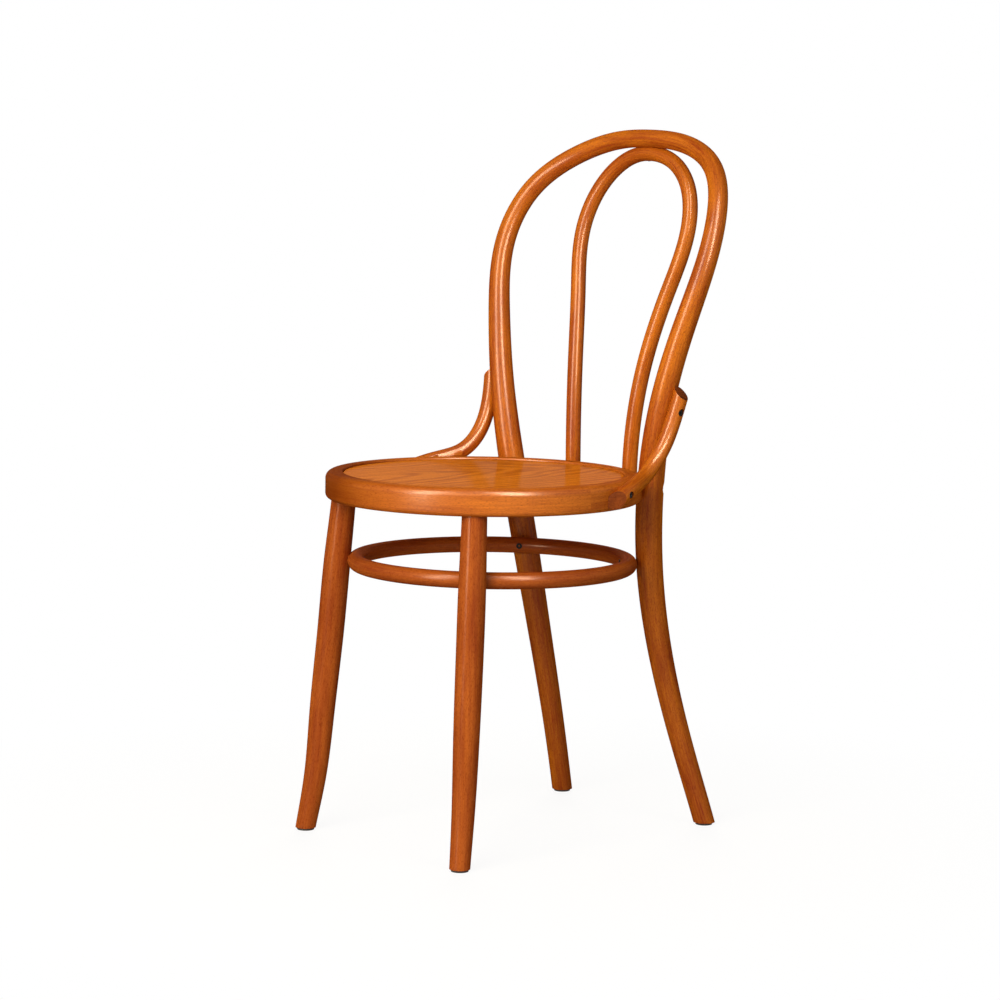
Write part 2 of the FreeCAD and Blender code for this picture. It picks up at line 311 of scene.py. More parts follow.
def sawn(piece, point, direction, ease, finish):
    # cut off what lies past a plane, close it and ease its edge
    grainTurn = 1.4  # end grain is spread wider than the grain along the rod
    mesh = piece.data
    bm = bmesh.new()
    bm.from_mesh(mesh)
    everything = bm.verts[:] + bm.edges[:] + bm.faces[:]
    plane = {"plane_co": point, "plane_no": direction, "clear_outer": True}
    cut = bmesh.ops.bisect_plane(bm, geom=everything, dist=1e-6, **plane)
    rim = [e for e in cut["geom_cut"] if isinstance(e, bmesh.types.BMEdge)]
    caps = bmesh.ops.edgeloop_fill(bm, edges=rim)["faces"]
    grain = bm.loops.layers.float_vector["grain"]
    for loop in [loop for cap in caps for loop in cap.loops]:
        loop[grain] = (loop.vert.co.y * grainTurn, loop.vert.co.z, loop.vert.co.x)
    if finish.name not in mesh.materials:
        mesh.materials.append(finish)
    for cap in caps:
        cap.material_index = mesh.materials.find(finish.name)
    edges = [e for cap in caps for e in cap.edges]
    easing = {"offset": ease * mm, "segments": 3, "profile": 0.5, "clamp_overlap": True, "material": 0}
    bmesh.ops.bevel(bm, geom=edges, affect="EDGES", **easing)
    bmesh.ops.recalc_face_normals(bm, faces=bm.faces)
    bm.to_mesh(mesh)
    bm.free()
    return piece


rodTree = buildRodTree()

# Materials

grainLayers = {
    "drift": {"scale": (9, 60, 60), "detail": 2.0, "roughness": 0.55, "low": 0.32, "high": 0.68},
    "streaks": {"scale": (16, 420, 420), "detail": 4.0, "roughness": 0.62, "low": 0.30, "high": 0.70},
    "fibre": {"scale": (110, 1500, 1500), "detail": 2.0, "roughness": 0.55, "low": 0.30, "high": 0.70},
    "flecks": {"scale": (340, 1150, 1150), "detail": 1.5, "roughness": 0.5, "low": 0.52, "high": 0.70},
}
grainShares = {"drift": 0.40, "streaks": 0.36, "fibre": 0.24, "flecks": 0.5, "bumpStreaks": 0.6}
yearRings = {
    "swayScale": (5, 16, 16), "sway": 0.055, "heart": 0.03, "slant": 0.22, "start": 0.04,
    "swayDetail": 2.0, "swayRoughness": 0.55, "count": 480.0, "low": -0.6, "share": 0.6,
}
woodRoughness = (0.24, 0.36)


def buildWoodGroup():
    # stained and varnished beech: tone drifts along the grain, with fine fibre and short dark flecks
    sockets = [("Grain", "NodeSocketVector", None), ("Seed", "NodeSocketFloat", 0.0)]
    sockets += [
        ("Pale", "NodeSocketColor", (0.62, 0.17, 0.02, 1)),
        ("Deep", "NodeSocketColor", (0.30, 0.06, 0.01, 1)),
        ("Fleck", "NodeSocketColor", (0.12, 0.02, 0.004, 1)),
    ]
    # the last four inputs place a painted shade along the grain
    sockets += [
        (label, "NodeSocketFloat", value) for label, value in (
            ("Contrast", 1.0), ("Figure", 0.0),
            ("Soak Place", 0.0), ("Soak From", 1.0), ("Soak To", 2.0), ("Soak Share", 0.0),
        )
    ]
    results = [("Colour", "NodeSocketColor"), ("Height", "NodeSocketFloat"), ("Roughness", "NodeSocketFloat")]
    tree, given, out = newGroup("stainedBeech", "ShaderNodeTree", sockets, results)
    second = maths(tree, "MULTIPLY", given["Seed"], 0.37)
    seed = addNode(tree, "ShaderNodeCombineXYZ", {"X": given["Seed"], "Y": second, "Z": 0.0})
    grain = shifted(tree, given["Grain"], seed.outputs[0])
    layer = {}
    for name, look in grainLayers.items():
        pattern = noiseOn(tree, scaled(tree, grain, look["scale"]), 1.0, look["detail"], look["roughness"])
        layer[name] = spread(tree, pattern, look["low"], look["high"])
    part = {name: maths(tree, "MULTIPLY", layer[name], grainShares[name]) for name in grainLayers}
    tone = maths(tree, "ADD", part["drift"], maths(tree, "ADD", part["streaks"], part["fibre"]))
    # year rings cut lengthways stand as nested arches along the board
    rings = yearRings
    along = addNode(tree, "ShaderNodeSeparateXYZ", {0: given["Grain"]}).outputs
    bed = scaled(tree, grain, rings["swayScale"])
    swaying = noiseOn(tree, bed, 1.0, rings["swayDetail"], rings["swayRoughness"])
    sway = maths(tree, "MULTIPLY", swaying, rings["sway"])
    across = maths(tree, "POWER", maths(tree, "ADD", along["Y"], rings["heart"]), 2.0)
    depth = maths(tree, "MULTIPLY_ADD", along["X"], rings["slant"], rings["start"])
    radius = maths(tree, "SQRT", maths(tree, "ADD", across, maths(tree, "POWER", depth, 2.0)))
    wave = maths(tree, "SINE", maths(tree, "MULTIPLY", maths(tree, "ADD", radius, sway), rings["count"]))
    arches = spread(tree, wave, rings["low"], 1.0)
    plain = maths(tree, "MULTIPLY", tone, 1 - rings["share"])
    figured = maths(tree, "MULTIPLY_ADD", arches, rings["share"], plain)
    tone = spread(tree, given["Figure"], 0.0, 1.0, (tone, figured))
    tone = maths(tree, "MULTIPLY_ADD", maths(tree, "SUBTRACT", tone, 0.5), given["Contrast"], 0.5)
    # painted shade: the colour darkens towards the fleck colour by its distance along the grain from a place,
    # either near the place or away from it
    apart = maths(tree, "ABSOLUTE", maths(tree, "SUBTRACT", along["X"], given["Soak Place"]))
    paintedShadeShare = spread(tree, apart, given["Soak From"], given["Soak To"], (0.0, given["Soak Share"]))
    base = blended(tree, paintedShadeShare, blended(tree, tone, given["Pale"], given["Deep"]), given["Fleck"])
    tree.links.new(blended(tree, part["flecks"], base, given["Fleck"]), out["Colour"])
    ridges = maths(tree, "MULTIPLY", layer["streaks"], grainShares["bumpStreaks"])
    tree.links.new(maths(tree, "SUBTRACT", ridges, layer["flecks"]), out["Height"])
    coarse = maths(tree, "ADD", layer["fibre"], layer["streaks"])
    tree.links.new(spread(tree, coarse, 0.4, 1.6, woodRoughness), out["Roughness"])
    return tree


wearLook = {
    "clouds": {"scale": 9.0, "detail": 3.0, "low": 0.35, "high": 0.65, "share": 0.7},
    "specks": {"scale": 420.0, "detail": 1.0, "low": 0.62, "high": 0.75, "share": 0.3},
}


def buildWearGroup():
    # soft handling marks and dust that break up the gloss
    sockets = [
        ("Place", "NodeSocketVector", None), ("Roughness", "NodeSocketFloat", 0.3),
        ("Amount", "NodeSocketFloat", 0.1),
    ]
    tree, given, out = newGroup("handling", "ShaderNodeTree", sockets, [("Roughness", "NodeSocketFloat")])
    kinds = []
    for look in wearLook.values():
        pattern = noiseOn(tree, given["Place"], look["scale"], look["detail"])
        kinds.append(maths(tree, "MULTIPLY", spread(tree, pattern, look["low"], look["high"]), look["share"]))
    marks = maths(tree, "MULTIPLY", maths(tree, "ADD", *kinds), given["Amount"])
    tree.links.new(maths(tree, "ADD", marks, given["Roughness"]), out["Roughness"])
    return tree


def newMaterial(name, settings):
    material = bpy.data.materials.new(name)
    material.use_nodes = True
    tree = material.node_tree
    tree.nodes.clear()
    shader = addNode(tree, "ShaderNodeBsdfPrincipled", settings)
    addNode(tree, "ShaderNodeOutputMaterial", {"Surface": shader.outputs[0]})
    return material, tree, shader.inputs


def placed(tree, group, values):
    made = addNode(tree, "ShaderNodeGroup", node_tree=group)
    for name, value in values.items():
        if isinstance(value, bpy.types.NodeSocket):
            tree.links.new(value, made.inputs[name])
        else:
            made.inputs[name].default_value = value
    return made.outputs


def varnishedWood(name, look):
    # stained wood under a varnish that mirrors less towards a rod's outline than plain lacquer would
    gloss = {"Coat Roughness": look["varnishRoughness"], "Coat IOR": 1.5, "Specular IOR Level": 0.0}
    material, tree, shader = newMaterial(name, gloss)
    grain = addNode(tree, "ShaderNodeAttribute", attribute_name="grain").outputs["Vector"]
    place = addNode(tree, "ShaderNodeTexCoord").outputs["Object"]
    figure = {label: look[label.lower()] for label in ("Seed", "Pale", "Deep", "Fleck", "Contrast", "Figure")}
    # the painted shade's place and reach feed the group's shade inputs
    figure |= {"Soak " + label: value for label, value in look["paintedShade"].items()}
    wood = placed(tree, woodGroup, {"Grain": grain} | figure)
    wear = placed(tree, wearGroup, {"Place": place, "Roughness": wood["Roughness"], "Amount": look["wear"]})
    aslant = addNode(tree, "ShaderNodeLayerWeight", {"Blend": 0.5}).outputs["Facing"]
    varnish = spread(tree, aslant, *look["turning"], (look["varnish"], look["varnishAslant"]))
    tree.links.new(wood["Colour"], shader["Base Color"])
    tree.links.new(varnish, shader["Coat Weight"])
    tree.links.new(wear["Roughness"], shader["Roughness"])
    tree.links.new(bumped(tree, wood["Height"], look["bump"], look["bumpDepth"]), shader["Normal"])
    return material


woodGroup = buildWoodGroup()
wearGroup = buildWearGroup()

beech = {
    "pale": (0.65, 0.182, 0.010, 1), "deep": (0.28, 0.040, 0.005, 1), "fleck": (0.15, 0.022, 0.001, 1),
    "contrast": 1.5, "figure": 0.0, "seed": 0.0, "wear": 0.06, "bump": 0.04, "bumpDepth": 0.0002, "paintedShade": {},
    "varnish": 0.40, "varnishAslant": 0.025, "varnishRoughness": 0.25, "turning": (0.05, 0.5),
}
# darker, redder tones for the front legs and leg ring: partly their own tone, partly painted shade under the
# seat
legShadedTones = {"pale": (0.43, 0.102, 0.014, 1), "deep": (0.24, 0.039, 0.007, 1)}
rimTones = {"pale": (0.62, 0.170, 0.016, 1), "deep": (0.34, 0.068, 0.007, 1)}
endTones = {"pale": (0.23, 0.052, 0.010, 1), "deep": (0.08, 0.016, 0.004, 1)}
# near black wood on the bore walls: painted shade in the holes
boreShadeTones = {"pale": (0.10, 0.02, 0.003, 1), "deep": (0.03, 0.006, 0.001, 1)}
panelTones = {"pale": (0.76, 0.225, 0.016, 1), "deep": (0.42, 0.095, 0.007, 1)}
hoopPaintedShade = {"Place": 1.084, "From": 0.53, "To": 0.78, "Share": 0.30}  # painted shade on the legs under the seat, in metres from the crown
rimPaintedShade = {"Place": 0.62, "From": 0.165, "To": 0.06, "Share": 0.80}  # painted shade over one arc of the rim, on the side that turns away from the lamps
looks = {
    "hoop": {"seed": 3.1, "paintedShade": hoopPaintedShade},
    "loop": {"seed": 11.7},
    "leg": legShadedTones | {"seed": 23.9, "varnish": 0.15, "varnishRoughness": 0.2},
    "ring": legShadedTones | {"seed": 37.3, "varnish": 0.27},
    "rim": rimTones | {"seed": 51.1, "paintedShade": rimPaintedShade, "varnish": 0.58, "varnishRoughness": 0.28},
    "brace": {"seed": 67.7, "varnish": 0.55},
    "end": endTones | {"seed": 5.5, "varnish": 0.12, "contrast": 2.2},
    "bore": boreShadeTones | {"seed": 8.8, "varnish": 0.1},
    "panel": panelTones | {
        "seed": 83.3, "figure": 0.65, "contrast": 1.2, "varnishAslant": 0.055, "varnishRoughness": 0.13,
    },
}
woods = {name: varnishedWood(name + "Beech", beech | look) for name, look in looks.items()}
print("materials built")

grit = {"detail": 2.0, "strength": 0.2, "depth": 0.0001}


def fineGrained(name, settings, low, high, scale):
    # metal or nylon: its own roughness, handled a little, over fine grit
    material, tree, shader = newMaterial(name, settings)
    place = addNode(tree, "ShaderNodeTexCoord").outputs["Object"]
    wear = placed(tree, wearGroup, {"Place": place, "Roughness": low, "Amount": high - low})
    tree.links.new(wear["Roughness"], shader["Roughness"])
    height = noiseOn(tree, place, scale, grit["detail"])
    tree.links.new(bumped(tree, height, grit["strength"], grit["depth"]), shader["Normal"])
    return material


black = {"Base Color": (0.012, 0.010, 0.009, 1), "Metallic": 0.2, "Specular IOR Level": 0.15}
zinc = {"Base Color": (0.60, 0.61, 0.62, 1), "Metallic": 1.0}
dark = {"Base Color": (0.035, 0.024, 0.02, 1), "Metallic": 0.0}
blackSteel = fineGrained("blackenedSteel", black, 0.42, 0.62, 1500.0)
zincSteel = fineGrained("zincSteel", zinc, 0.25, 0.45, 900.0)
nylon = fineGrained("glideNylon", dark, 0.4, 0.65, 700.0)


# Back frame: both back legs and the hoop, bent from one rod

backFrame = {
    "stations": [
        (0, 275.5, 886, 23.2), (64, 275.5, 881, 24), (124, 263.5, 861, 24.6), (172, 235, 821, 25.2),
        (192.5, 203, 753, 26.2), (176, 177, 655, 28.8), (152.5, 164, 558, 31.6), (134.5, 165, 466, 34.2),
        (119.2, 179.1, 349, 34.2), (116.2, 204, 232, 31), (124.5, 239.5, 106, 28), (137.2, 270.2, 3, 27),
        (140.9, 278.5, -27, 27),
    ],
    "samples": 420, "sides": 56, "footHeight": 3.0, "footEase": 1.4,
}
frameLine = evenLine(wholeArch(backFrame["stations"]), backFrame["samples"])
hoop = bentRod("backHoopAndLegs", frameLine, backFrame["sides"], woods["hoop"])
sawn(hoop, up * backFrame["footHeight"] * mm, -up, backFrame["footEase"], woods["end"])
softShaded(hoop)

# Inner loop, screwed to the rim and tucked up under the hoop

innerLoop = {
    "stations": [
        (0, 279.5, 866.6, 19.8), (40, 279.5, 858.5, 19.8), (80, 272, 825, 19.8), (98, 255.5, 768, 19.8),
        (84.5, 235, 690, 19.8), (64.5, 213.5, 590, 19.8), (55.2, 203.8, 494, 19.8), (53.7, 203.4, 433, 19.8),
    ],
    "samples": 320, "sides": 48,
}
loopLine = evenLine(wholeArch(innerLoop["stations"]), innerLoop["samples"])
loop = bentRod("innerLoop", loopLine, innerLoop["sides"], woods["loop"])
softShaded(loop)

# Front legs, turned, standing up into the rim

frontLeg = {
    "stations": [
        (126.0, -123.6, 441, 31), (126.5, -124.2, 431, 31.2), (131.4, -130.4, 349, 34),
        (135.4, -136.4, 262, 34.2), (141.2, -145.2, 152, 32.2), (145.6, -152.2, 68, 28.6),
        (151.8, -161.8, 3, 25.8), (153.6, -164.6, -17, 25.2),
    ],
    "samples": 120, "sides": 56, "footHeight": 3.0, "footEase": 1.4,
}
frontLegs = []
for side, sign in (("Left", 1), ("Right", -1)):
    line = evenLine([mirroredX(p, sign) for p in frontLeg["stations"]], frontLeg["samples"])
    leg = bentRod("frontLeg" + side, line, frontLeg["sides"], woods["leg"])
    sawn(leg, up * frontLeg["footHeight"] * mm, -up, frontLeg["footEase"], woods["end"])
    frontLegs.append(softShaded(leg))
print("rods bent")

# Seat rim and panel

seat = {
    "radius": 200.0, "top": 465.0, "height": 34.0, "rimWidth": 45.0, "topRound": 9.0, "bottomRound": 6.5,
    "innerRound": 1.5, "lip": 22.0, "lipRound": 2.2, "rimSteps": 288,
    "panelDrop": 2.5, "panelGap": 0.5, "panel": 5.0, "panelEase": 0.7, "panelSteps": 192,
}


def rimProfile(s):
    low = s["top"] - s["height"]
    inner, lip = s["radius"] - s["rimWidth"], s["radius"] - s["lip"]
    rebate = s["top"] - s["panelDrop"] - s["panel"]
    points = rounded((inner + s["innerRound"], low + s["innerRound"]), s["innerRound"], 180, 270, 3)
    points += rounded((s["radius"] - s["bottomRound"], low + s["bottomRound"]), s["bottomRound"], -90, 0, 10)
    points += rounded((s["radius"] - s["topRound"], s["top"] - s["topRound"]), s["topRound"], 0, 90, 14)
    points += rounded((lip + s["lipRound"], s["top"] - s["lipRound"]), s["lipRound"], 90, 180, 6)
    points += [(lip, rebate), (inner, rebate)]
    return points


def panelProfile(s):
    top = s["top"] - s["panelDrop"]
    bottom, edge, ease = top - s["panel"], s["radius"] - s["lip"] - s["panelGap"], s["panelEase"]
    points = [(0, bottom), (edge, bottom)] + rounded((edge - ease, top - ease), ease, 0, 90, 4)
    return points + [(edge - 12, top), (edge * 0.5, top), (0, top)]  # even rings of faces on the flat


upright = Matrix.Translation(seatAxis)
rim = turned("seatRim", rimProfile(seat), seat["rimSteps"], place=upright, finish=woods["rim"])
panel = turned(
    "seatPanel", panelProfile(seat), seat["panelSteps"], closed=False,
    place=upright, finish=woods["panel"], sawnFlat=True,
)

# Leg ring

legRing = {"radius": 173.7, "thickness": 21.0, "height": 349.0, "back": 16.7, "sides": 40, "steps": 240}
ringProfile = rounded((legRing["radius"], 0), legRing["thickness"] / 2, 0, 360, legRing["sides"])[:-1]
ringPlace = Matrix.Translation(seatAxis + Vector((0, legRing["back"], legRing["height"])) * mm)
ring = turned("legRing", ringProfile, legRing["steps"], place=ringPlace, finish=woods["ring"])
print("seat and ring turned")

# Braces, sawn at a slant and flattened against the rim

brace = {
    "stations": [
        (184.4, 172.5, 590, 20.2), (177.2, 164.6, 549, 20.2),
        (172.8, 145, 500, 20.2), (176.6, 114, 470.5, 20.2),
        (190.4, 84, 460.5, 20.2), (201.4, 53.5, 451.5, 20.2), (207.2, 22, 439.5, 20.2),
    ],
    "samples": 140, "sides": 44, "endEase": 1.2,
    "topEnd": (180.6, 167.8, 571), "topSlant": (0.69, 0.2, 0.7),
    "lowEnd": (204.6, 38, 445.5), "lowSlant": (0.71, -0.7, 0.05),
}
braces = []
for side, sign in (("Left", 1), ("Right", -1)):
    line = evenLine([mirroredX(p, sign) for p in brace["stations"]], brace["samples"])
    rod = bentRod("brace" + side, line, brace["sides"], woods["brace"])
    for end in ("top", "low"):
        point = Vector(mirroredX(brace[end + "End"], sign)) * mm + seatAxis
        slant = Vector(mirroredX(brace[end + "Slant"], sign)).normalized()
        sawn(rod, point, slant, brace["endEase"], woods["end"])
    braces.append(softShaded(rod))
print("braces bent")

# Fastenings: one part of each kind, set out along its lines by a node tree

def pointAt(stations, height):
    # where a standing rod's line passes a height
    nearest = min(evenLine(stations, 400), key=lambda p: abs(p[2] - height))
    return Vector(nearest[:3])


def levelled(vector):
    return Vector((vector.x, vector.y, 0)).normalized()


def buildFixingTree():
    # one part on each point, turned along its aim and by chance about it
    sockets = [
        ("Geometry", "NodeSocketGeometry", None), ("Part", "NodeSocketObject", None),
        ("Seed", "NodeSocketInt", 5), ("Finish", "NodeSocketMaterial", None),
    ]
    tree, given, out = newGroup("fixings", "GeometryNodeTree", sockets, [("Geometry", "NodeSocketGeometry")])
    aim = attribute(tree, "aim", "FLOAT_VECTOR")
    facingAim = addNode(tree, "FunctionNodeAlignRotationToVector", {"Vector": aim}, axis="Z").outputs[0]
    turns = {"Min": Vector((0, 0, 0)), "Max": Vector((0, 0, 6.28)), "Seed": given["Seed"]}
    twist = addNode(tree, "FunctionNodeRandomValue", turns, data_type="FLOAT_VECTOR").outputs[0]
    twisted = addNode(tree, "FunctionNodeEulerToRotation", {0: twist}).outputs[0]
    both = {"Rotation": facingAim, "Rotate By": twisted}
    turn = addNode(tree, "FunctionNodeRotateRotation", both, rotation_space="LOCAL").outputs[0]
    source = addNode(tree, "GeometryNodeObjectInfo", {"Object": given["Part"]}, transform_space="ORIGINAL")
    laying = {"Points": given["Geometry"], "Instance": source.outputs["Geometry"], "Rotation": turn}
    laid = addNode(tree, "GeometryNodeInstanceOnPoints", laying).outputs[0]
    tree.links.new(solidIn(tree, laid, given["Finish"]), out["Geometry"])
    return tree


def setOut(name, part, places, finish, seed=5):
    # each place is a point in mm from the seat's axis, and a direction
    mesh = bpy.data.meshes.new(name)
    mesh.from_pydata([point * mm + seatAxis for point, aim in places], [], [])
    aims = mesh.attributes.new("aim", "FLOAT_VECTOR", "POINT")
    aims.data.foreach_set("vector", [c for point, aim in places for c in aim])
    return softShaded(grown(name, mesh, fixingTree, {"Part": part, "Seed": seed, "Finish": finish}))


def bothSides(point, aim):
    return [(point, aim), (Vector(mirroredX(point, -1)), Vector(mirroredX(aim, -1)))]


fixing = {
    "headRadius": 3.8, "headHeight": 2.4, "headEase": 0.25, "headEdge": 0.6, "shank": 2.0, "point": 3.0,
    "recess": 1.5, "slotWidth": 1.0, "slotReach": 2.3, "slotTaper": 0.45, "sides": 40,
    "screwLengths": {"brace": 30.0, "ring": 34.0, "loopFoot": 32.0, "loopTop": 30.0, "tenon": 26.0},
    "braceTopHeight": 546.0, "braceLowAngle": 105.6, "braceLowHeight": 451.8, "braceFlat": 2.0,
    "loopHeight": 447.0, "tenonHeight": 443.0, "ringSink": 1.6,
    "bore": {
        "radius": 4.2, "depth": 3.6, "flare": 1.0, "straight": 0.7, "slope": 0.3, "reach": 14, "sides": 40,
    },
    "mouth": {
        "radius": 8.0, "depth": 4.4, "flare": 1.4, "straight": 0.2, "slope": 1.2, "reach": 18, "sides": 48,
    },
    "boltHeight": 448.0, "boltRadius": 3.0, "boltHead": 7.5, "boltDome": 3.6, "boltCrown": 1.2, "boltEdge": 0.1,
    "thread": 0.55, "threadStart": 1.0, "pitch": 1.0, "overhang": 3.0, "tip": 0.7,
    "washerRadius": 9.0, "washer": 1.6, "washerEase": 0.3, "washerPlay": 0.15, "washerSides": 48,
    "nutWidth": 10.0, "nut": 5.0, "nutEase": 0.35, "nutSlope": 0.955, "nutSides": 24,
}
fixingTree = buildFixingTree()


def woodScrew(name, length):
    # a countersunk head with a cross recess over a shank with a tapered point
    f = fixing
    wide, head = f["headRadius"], -f["headHeight"]
    profile = [(0, head), (wide - f["headEase"], head), (wide, head + f["headEase"])]
    profile += [(wide, head + f["headEdge"]), (f["shank"], 0), (f["shank"], length - f["point"]), (0, length)]
    screw = turned(name, profile, f["sides"], closed=False)
    arms = []
    for x, y in ((f["slotWidth"], f["slotReach"]), (f["slotReach"], f["slotWidth"])):
        bm = bmesh.new()
        size = Matrix.Diagonal((x * 2 * mm, y * 2 * mm, f["recess"] * 2 * mm, 1))
        bmesh.ops.create_cube(bm, size=1.0, matrix=size)
        for v in bm.verts:
            if v.co.z > 0:
                v.co.x, v.co.y = v.co.x * f["slotTaper"], v.co.y * f["slotTaper"]
        bmesh.ops.translate(bm, vec=(0, 0, head * mm), verts=bm.verts)
        arms.append(pieceFrom(bm, "slot"))
    return softShaded(cutBy(screw, *arms))


def flaredHole(name, hole, place):
    # a cutter for a sunk head, wider in front of the wood
    radius, depth, reach = hole["radius"], hole["depth"], hole["reach"]
    wide = radius + hole["flare"]
    profile = [(0, 0), (radius, 0), (radius, hole["straight"] - depth), (wide, -depth - hole["slope"])]
    profile += [(wide, -reach), (0, -reach)]
    # the cutter's near black wood lines the hole with painted shade
    return turned(name, profile, hole["sides"], closed=False, place=place, finish=woods["bore"])


screws = {kind: woodScrew(kind + "Screw", length) for kind, length in fixing["screwLengths"].items()}

bracePoint = pointAt(brace["stations"], fixing["braceTopHeight"])
braceAim = levelled(pointAt(backFrame["stations"], fixing["braceTopHeight"]) - bracePoint)
braceTopSeat = bracePoint - braceAim * (brace["stations"][0][3] / 2 - fixing["bore"]["depth"])
lowTurn = math.radians(fixing["braceLowAngle"])
lowAim = Vector((-math.sin(lowTurn), math.cos(lowTurn), 0))
lowReach = seat["radius"] + brace["stations"][-1][3] - fixing["bore"]["depth"] - fixing["braceFlat"]
lowSeat = up * fixing["braceLowHeight"] - lowAim * lowReach

spare = 10  # the cutter in the rim's place stands this far past it
rimBulk = [(0, -spare), (seat["radius"], -spare), (seat["radius"], seat["height"] + spare)]
rimBulk.append((0, seat["height"] + spare))
for rod, sign in zip(braces, (1, -1)):
    cutters = []
    for point, aim in ((braceTopSeat, braceAim), (lowSeat, lowAim)):
        point, aim = Vector(mirroredX(point, sign)) * mm + seatAxis, Vector(mirroredX(aim, sign))
        cutters.append(flaredHole("bore", fixing["bore"], facing(point, aim)))
    place = Matrix.Translation(seatAxis + up * (seat["top"] - seat["height"]) * mm)
    cutters.append(turned("bulk", rimBulk, seat["rimSteps"], closed=False, place=place, finish=woods["brace"]))
    softShaded(cutBy(rod, *cutters))
print("braces bored")

braceTopScrews = setOut("braceTopScrews", screws["brace"], bothSides(braceTopSeat, braceAim), blackSteel, 3)
braceLowScrews = setOut("braceLowScrews", screws["brace"], bothSides(lowSeat, lowAim), blackSteel, 4)

ringMiddle = Vector((0, legRing["back"], legRing["height"]))
ringPlaces = []
for stations in (backFrame["stations"], frontLeg["stations"]):
    outward = levelled(pointAt(stations, legRing["height"]) - ringMiddle)
    inside = legRing["radius"] - legRing["thickness"] / 2 + fixing["ringSink"]
    ringPlaces += bothSides(ringMiddle + outward * inside, outward)
ringScrews = setOut("legRingScrews", screws["ring"], ringPlaces, blackSteel, 8)

foot = pointAt(innerLoop["stations"], fixing["loopHeight"])
inward = -levelled(foot)
footSeat = foot - inward * (innerLoop["stations"][-1][3] / 2 - fixing["headHeight"])
loopFootScrews = setOut("loopFootScrews", screws["loopFoot"], bothSides(footSeat, inward), blackSteel, 2)

crown, hoopCrown = Vector(innerLoop["stations"][0][:3]), Vector(backFrame["stations"][0][:3])
rising = (hoopCrown - crown).normalized()
crownSeat = crown - rising * (innerLoop["stations"][0][3] / 2 - fixing["headHeight"])
loopTopScrew = setOut("loopTopScrew", screws["loopTop"], [(crownSeat, rising)], blackSteel, 6)

rimInner = seat["radius"] - seat["rimWidth"]
tenonOut = levelled(pointAt(frontLeg["stations"], seat["top"] - seat["height"]))
tenonSeat = tenonOut * (rimInner + fixing["headHeight"]) + up * fixing["tenonHeight"]
tenonScrews = setOut("tenonScrews", screws["tenon"], bothSides(tenonSeat, tenonOut), blackSteel, 7)

# Leg bolts with domed heads, a washer and a nut inside the rim

legPoint = pointAt(backFrame["stations"], fixing["boltHeight"])
boltAim = -levelled(legPoint)
boltSeat = legPoint - boltAim * (backFrame["stations"][7][3] / 2 - fixing["mouth"]["depth"])
washerFace = math.sqrt(rimInner ** 2 - fixing["washerRadius"] ** 2)
span = Vector((boltSeat.x, boltSeat.y, 0)).length - washerFace
boltEnd = span + fixing["washer"] + fixing["nut"] + fixing["overhang"]
boltPlaces = bothSides(boltSeat, boltAim)
mouths = [flaredHole("mouth", fixing["mouth"], facing(p * mm + seatAxis, aim)) for p, aim in boltPlaces]
softShaded(cutBy(hoop, *mouths))


def boltProfile(f):
    points = [(0, -f["boltDome"])]
    for degrees in range(15, 90, 15):
        a = math.radians(degrees)
        points.append((f["boltHead"] * math.sin(a), -f["boltDome"] * math.cos(a) ** f["boltCrown"]))
    z = span - f["threadStart"]
    points += [(f["boltHead"], -f["boltEdge"]), (f["boltHead"], 0), (f["boltRadius"], 0), (f["boltRadius"], z)]
    while z < boltEnd - 1.5 * f["pitch"]:
        points += [(f["boltRadius"] - f["thread"], z + 0.5 * f["pitch"]), (f["boltRadius"], z + f["pitch"])]
        z += f["pitch"]
    return points + [(f["boltRadius"] - f["tip"], boltEnd), (0, boltEnd)]


def washerProfile(f):
    inner, outer, ease = f["boltRadius"] + f["washerPlay"], f["washerRadius"], f["washerEase"]
    low, high = span, span + f["washer"]
    points = [(inner, low), (outer - ease, low), (outer, low + ease)]
    return points + [(outer, high - ease), (outer - ease, high), (inner, high)]


bolt = turned("bolt", boltProfile(fixing), fixing["sides"], closed=False)
washerRing = turned("washer", washerProfile(fixing), fixing["washerSides"])


def hexNut(f):
    # six flats, with both faces' corners taken off by a slope
    start, corner, sides = span + f["washer"], f["nutWidth"] / math.sqrt(3), f["nutSides"]
    bm = bmesh.new()
    turns = [2 * math.pi * k / sides for k in range(sides)]

    def ringOf(z, radii):
        places = [(r * math.cos(a) * mm, r * math.sin(a) * mm, (start + z) * mm) for a, r in zip(turns, radii)]
        return [bm.verts.new(place) for place in places]

    flats = [corner * math.cos(math.pi / 6) / math.cos((a % (math.pi / 3)) - math.pi / 6) for a in turns]
    sloped = [min(flat, corner * f["nutSlope"]) for flat in flats]
    rings = [ringOf(0, sloped), ringOf(f["nutEase"], flats), ringOf(f["nut"] - f["nutEase"], flats)]
    rings.append(ringOf(f["nut"], sloped))
    low, high = (ringOf(z, [f["boltRadius"]] * sides) for z in (0, f["nut"]))
    loopOrder = [low] + rings + [high]
    for low, high in zip(loopOrder, loopOrder[1:] + loopOrder[:1]):
        for k in range(sides):
            n = (k + 1) % sides
            bm.faces.new((low[k], low[n], high[n], high[k]))
    bmesh.ops.recalc_face_normals(bm, faces=bm.faces)
    return softShaded(pieceFrom(bm, "nut"), degrees=25)


nut = hexNut(fixing)
legBolts = setOut("legBolts", bolt, boltPlaces, blackSteel)
washers = setOut("legBoltWashers", washerRing, boltPlaces, zincSteel)
nuts = setOut("legBoltNuts", nut, boltPlaces, zincSteel, 9)

# Glides under the feet, with the nails that hold them

glide = {
    "radius": 11.0, "height": 3.0, "ease": 0.9, "topEase": 0.3, "sides": 48,
    "nailRadius": 1.2, "nailStart": 1.0, "nailLength": 17.0, "nailPoint": 2.5, "nailSides": 24,
}


